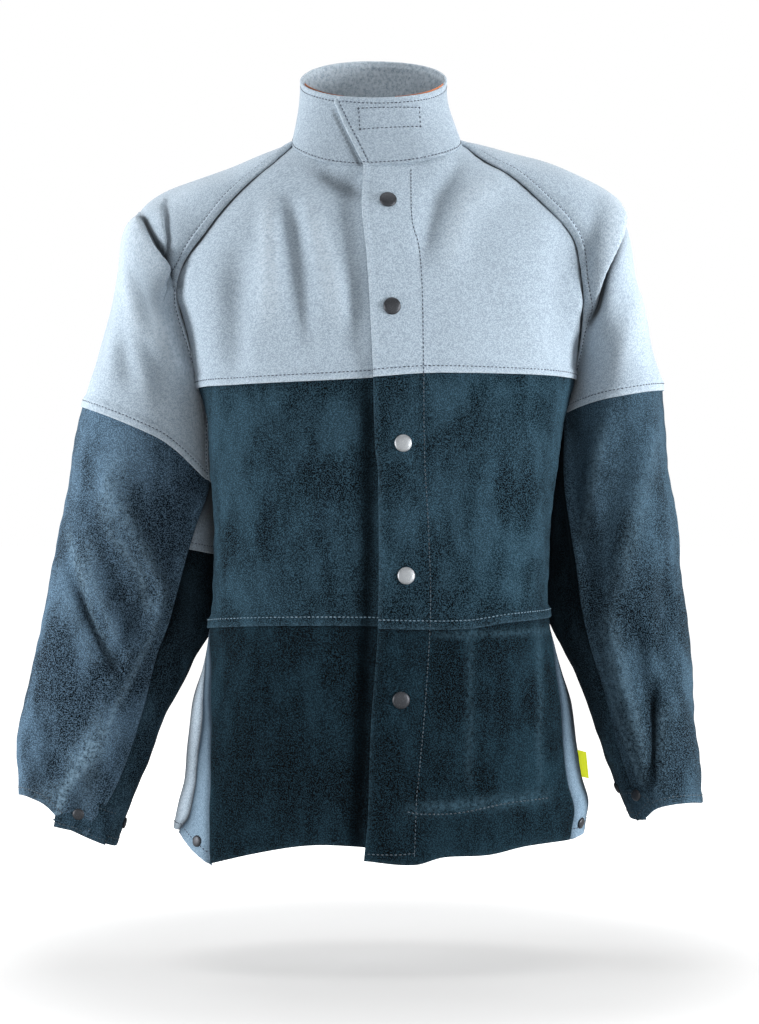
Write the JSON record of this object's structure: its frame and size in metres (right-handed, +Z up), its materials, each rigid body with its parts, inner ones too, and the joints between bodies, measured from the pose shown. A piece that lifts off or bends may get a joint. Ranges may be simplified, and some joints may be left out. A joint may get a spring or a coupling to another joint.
{
  "type": "welding jacket",
  "caption": "Hip-length welding jacket with stand-up lapped collar, snap-closed front, cotton raglan shoulders and suede lower fronts and sleeves, shaped as worn.",
  "frame": {"origin": "middle of the neck opening at the level of the collar seam, where the jacket hangs from a wearer's neck and shoulders", "axes": "+Z up, front of the jacket faces -Y, wearer's left is +X"},
  "size_m": [0.7188, 0.2849, 0.8516],
  "materials": {
    "cotton": "matte blue-grey twill",
    "leather": "mottled blue-black split suede",
    "metal": "dull gunmetal",
    "trim": "rust edging",
    "label": "plain woven yellow-green"
  },
  "bodies": {
    "root": {"collar": "cotton", "front_yoke_right": "cotton", "front_yoke_left": "cotton", "raglan_sleeve_right": "cotton", "raglan_sleeve_left": "cotton", "under_sleeve_right": "cotton", "under_sleeve_left": "cotton", "side_panel_right": "cotton", "side_panel_left": "cotton", "back_panel": "cotton", "front_leather_upper_right": "leather", "front_leather_upper_left": "leather", "front_leather_lower_right": "leather", "front_leather_lower_left": "leather", "sleeve_leather_top_right": "leather", "sleeve_leather_top_left": "leather", "sleeve_leather_under_right": "leather", "sleeve_leather_under_left": "leather", "cuff_tab_right": "leather", "cuff_tab_left": "leather", "collar_trim_right": "trim", "collar_trim_left": "trim", "label_tab": "label", "front_snap_1": "metal", "front_snap_2": "metal", "front_snap_3": "metal", "front_snap_4": "metal", "front_snap_5": "metal", "cuff_snap_right_1": "metal", "cuff_snap_right_2": "metal", "cuff_snap_left_1": "metal", "cuff_snap_left_2": "metal", "hem_snap_right": "metal", "hem_snap_left": "metal"}
  },
  "joints": []
}
